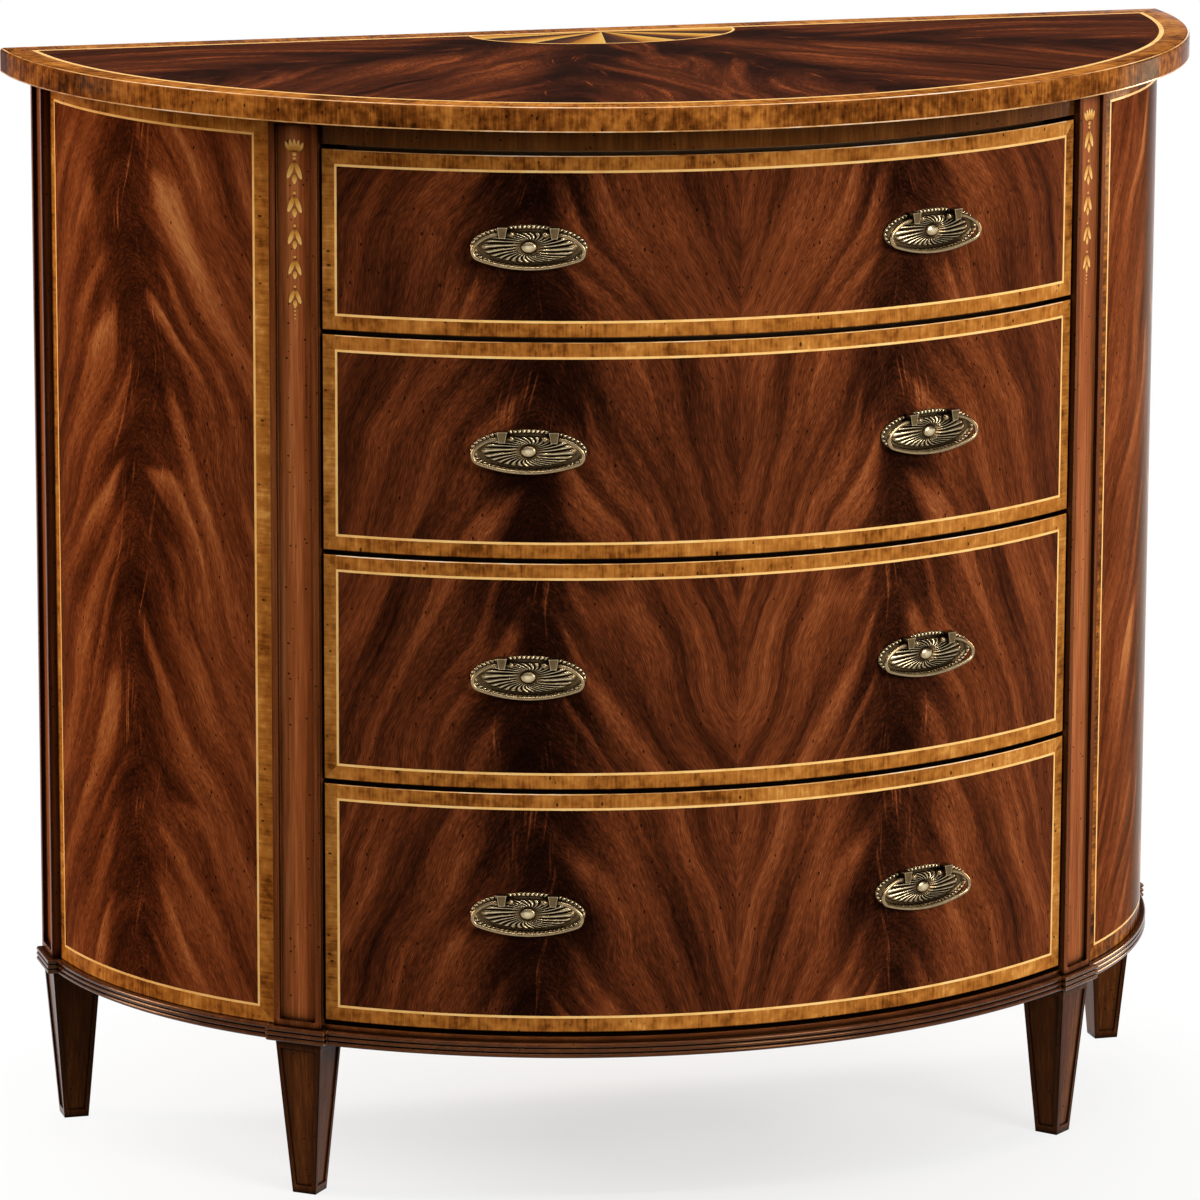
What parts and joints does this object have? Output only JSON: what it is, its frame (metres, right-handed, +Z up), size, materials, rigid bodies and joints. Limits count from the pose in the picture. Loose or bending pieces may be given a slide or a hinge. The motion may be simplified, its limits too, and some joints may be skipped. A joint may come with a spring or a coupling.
{
  "type": "demilune chest of drawers",
  "caption": "Half-round chest of graduated bow-front drawers on tapered legs, with swinging oval bail handles and a reeded base moulding.",
  "frame": {"origin": "on the floor, under the middle of the top board", "axes": "+Z up, drawers open towards -Y, straight back towards +Y, +X to the right seen from the front"},
  "size_m": [1.022, 0.4699, 0.914],
  "materials": {
    "mahogany": "figured mahogany veneer and solid, gloss polish",
    "carcase_wood": "plain hardwood boards, thin oil",
    "drawer_lining": "pale hardwood, thin varnish",
    "antique_brass": "darkened brass, rubbed on the high parts"
  },
  "bodies": {
    "case": {"back_panel": "carcase_wood", "base_blocks": "mahogany", "base_moulding_front": "mahogany", "base_moulding_left": "mahogany", "base_moulding_right": "mahogany", "base_rail_back": "carcase_wood", "bottom_board": "carcase_wood", "bottom_rail": "mahogany", "divider_1": "carcase_wood", "divider_2": "carcase_wood", "divider_3": "carcase_wood", "frieze_rail": "mahogany", "front_leg_left": "mahogany", "front_leg_right": "mahogany", "front_post_left": "mahogany", "front_post_right": "mahogany", "kickers": "carcase_wood", "partition_left": "carcase_wood", "partition_right": "carcase_wood", "rear_leg_left": "mahogany", "rear_leg_right": "mahogany", "rear_post_left": "mahogany", "rear_post_right": "mahogany", "side_panel_left": "mahogany", "side_panel_right": "mahogany", "top_board": "mahogany", "top_rail": "carcase_wood"},
    "drawer_1": {"drawer_1_back": "drawer_lining", "drawer_1_bottom": "drawer_lining", "drawer_1_front": "mahogany", "drawer_1_handle_plates": "antique_brass", "drawer_1_handle_posts": "antique_brass", "drawer_1_sides": "drawer_lining"},
    "drawer_1_bail_left": {"drawer_1_bail_left": "antique_brass"},
    "drawer_1_bail_right": {"drawer_1_bail_right": "antique_brass"},
    "drawer_2": {"drawer_2_back": "drawer_lining", "drawer_2_bottom": "drawer_lining", "drawer_2_front": "mahogany", "drawer_2_handle_plates": "antique_brass", "drawer_2_handle_posts": "antique_brass", "drawer_2_sides": "drawer_lining"},
    "drawer_2_bail_left": {"drawer_2_bail_left": "antique_brass"},
    "drawer_2_bail_right": {"drawer_2_bail_right": "antique_brass"},
    "drawer_3": {"drawer_3_back": "drawer_lining", "drawer_3_bottom": "drawer_lining", "drawer_3_front": "mahogany", "drawer_3_handle_plates": "antique_brass", "drawer_3_handle_posts": "antique_brass", "drawer_3_sides": "drawer_lining"},
    "drawer_3_bail_left": {"drawer_3_bail_left": "antique_brass"},
    "drawer_3_bail_right": {"drawer_3_bail_right": "antique_brass"},
    "drawer_4": {"drawer_4_back": "drawer_lining", "drawer_4_bottom": "drawer_lining", "drawer_4_front": "mahogany", "drawer_4_handle_plates": "antique_brass", "drawer_4_handle_posts": "antique_brass", "drawer_4_sides": "drawer_lining"},
    "drawer_4_bail_left": {"drawer_4_bail_left": "antique_brass"},
    "drawer_4_bail_right": {"drawer_4_bail_right": "antique_brass"}
  },
  "joints": [
    {"name": "drawer_1_slide", "type": "slide", "parent": "case", "child": "drawer_1", "axis": [0, -1, 0], "range_m": [0, 0.22]},
    {"name": "drawer_1_bail_left_hinge", "type": "hinge", "parent": "drawer_1", "child": "drawer_1_bail_left", "pos_m": [-0.16959, -0.17671, 0.80825], "axis": [-0.9477, 0.3191, 0], "range_deg": [0, 90]},
    {"name": "drawer_1_bail_right_hinge", "type": "hinge", "parent": "drawer_1", "child": "drawer_1_bail_right", "pos_m": [0.16959, -0.17671, 0.80825], "axis": [-0.9477, -0.3191, 0], "range_deg": [0, 90]},
    {"name": "drawer_2_slide", "type": "slide", "parent": "case", "child": "drawer_2", "axis": [0, -1, 0], "range_m": [0, 0.22]},
    {"name": "drawer_2_bail_left_hinge", "type": "hinge", "parent": "drawer_2", "child": "drawer_2_bail_left", "pos_m": [-0.16959, -0.17671, 0.64375], "axis": [-0.9477, 0.3191, 0], "range_deg": [0, 90]},
    {"name": "drawer_2_bail_right_hinge", "type": "hinge", "parent": "drawer_2", "child": "drawer_2_bail_right", "pos_m": [0.16959, -0.17671, 0.64375], "axis": [-0.9477, -0.3191, 0], "range_deg": [0, 90]},
    {"name": "drawer_3_slide", "type": "slide", "parent": "case", "child": "drawer_3", "axis": [0, -1, 0], "range_m": [0, 0.22]},
    {"name": "drawer_3_bail_left_hinge", "type": "hinge", "parent": "drawer_3", "child": "drawer_3_bail_left", "pos_m": [-0.16959, -0.17671, 0.45925], "axis": [-0.9477, 0.3191, 0], "range_deg": [0, 90]},
    {"name": "drawer_3_bail_right_hinge", "type": "hinge", "parent": "drawer_3", "child": "drawer_3_bail_right", "pos_m": [0.16959, -0.17671, 0.45925], "axis": [-0.9477, -0.3191, 0], "range_deg": [0, 90]},
    {"name": "drawer_4_slide", "type": "slide", "parent": "case", "child": "drawer_4", "axis": [0, -1, 0], "range_m": [0, 0.22]},
    {"name": "drawer_4_bail_left_hinge", "type": "hinge", "parent": "drawer_4", "child": "drawer_4_bail_left", "pos_m": [-0.16959, -0.17671, 0.26325], "axis": [-0.9477, 0.3191, 0], "range_deg": [0, 90]},
    {"name": "drawer_4_bail_right_hinge", "type": "hinge", "parent": "drawer_4", "child": "drawer_4_bail_right", "pos_m": [0.16959, -0.17671, 0.26325], "axis": [-0.9477, -0.3191, 0], "range_deg": [0, 90]}
  ]
}
